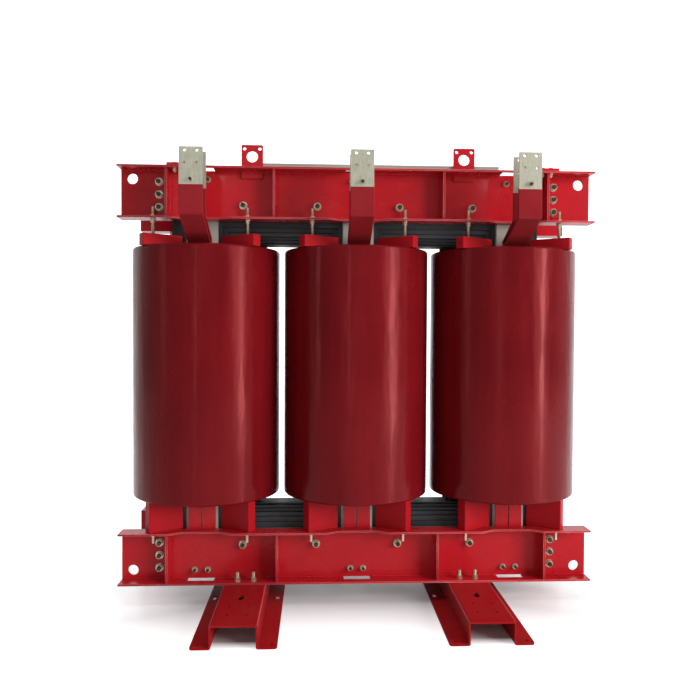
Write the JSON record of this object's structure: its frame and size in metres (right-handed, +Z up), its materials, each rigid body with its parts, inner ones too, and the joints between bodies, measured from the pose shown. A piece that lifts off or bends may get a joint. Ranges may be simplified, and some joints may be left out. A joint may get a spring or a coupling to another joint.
{
  "type": "dry type transformer",
  "caption": "Three-phase cast-resin dry type power transformer: red windings on a black stepped core, clamped by red channel beams, on two base channels.",
  "frame": {"origin": "on the floor, under the middle of the core", "axes": "+X along the yokes from phase A to phase C, +Y towards the high-voltage side, -Y towards the low-voltage terminals, +Z up"},
  "size_m": [2.256, 1.474, 2.187],
  "materials": {
    "frame_paint": "glossy red paint on welded and folded steel",
    "core_paint": "black varnish on laminated electrical steel",
    "winding_resin": "glossy dark wine red cast resin",
    "inner_resin": "resin-bonded foil winding, brownish red end fill",
    "barrier_film": "pale amber glass-epoxy sheet",
    "block_resin": "satin red moulded resin",
    "board": "pale pressed insulating board",
    "bar_metal": "bare flat bar above, red insulating coat below",
    "zinc": "zinc-plated steel with a slight yellow tint",
    "duct_plastic": "light grey wiring duct",
    "link_sleeve": "red heat-shrunk sleeve on copper rod",
    "stud_brass": "plain brass"
  },
  "bodies": {
    "root": {"base_channel_left": "frame_paint", "base_channel_right": "frame_paint", "lower_clamp_front": "frame_paint", "lower_clamp_rear": "frame_paint", "upper_clamp_front": "frame_paint", "upper_clamp_rear": "frame_paint", "lifting_lugs_front": "frame_paint", "lifting_lugs_rear": "frame_paint", "cross_brace_left": "frame_paint", "cross_brace_right": "frame_paint", "core_limbs": "core_paint", "core_upper_yoke": "core_paint", "tie_plates_front": "frame_paint", "tie_plates_rear": "frame_paint", "limb_boards": "board", "yoke_boards": "board", "hv_winding_a": "winding_resin", "lv_winding_a": "inner_resin", "barrier_a": "barrier_film", "support_blocks_a": "block_resin", "pressure_blocks_a": "block_resin", "pressure_screws_a": "zinc", "lv_bar_outer_a": "bar_metal", "lv_bar_inner_a": "bar_metal", "hv_winding_b": "winding_resin", "lv_winding_b": "inner_resin", "barrier_b": "barrier_film", "support_blocks_b": "block_resin", "pressure_blocks_b": "block_resin", "pressure_screws_b": "zinc", "lv_bar_outer_b": "bar_metal", "lv_bar_inner_b": "bar_metal", "hv_winding_c": "winding_resin", "lv_winding_c": "inner_resin", "barrier_c": "barrier_film", "support_blocks_c": "block_resin", "pressure_blocks_c": "block_resin", "pressure_screws_c": "zinc", "lv_bar_outer_c": "bar_metal", "lv_bar_inner_c": "bar_metal", "lv_bar_ties": "zinc", "block_bolts": "zinc", "yoke_bolts_lower": "zinc", "yoke_bolts_upper": "zinc", "end_bolts_lower": "zinc", "end_bolts_upper": "zinc", "foot_bolts": "zinc", "brace_bolts": "zinc", "tie_plate_bolts_front": "zinc", "tie_plate_bolts_rear": "zinc", "top_strip": "duct_plastic", "delta_link_ab": "link_sleeve", "delta_link_bc": "link_sleeve", "delta_link_ca": "link_sleeve", "hv_terminals": "stud_brass", "tap_studs": "stud_brass"}
  },
  "joints": []
}
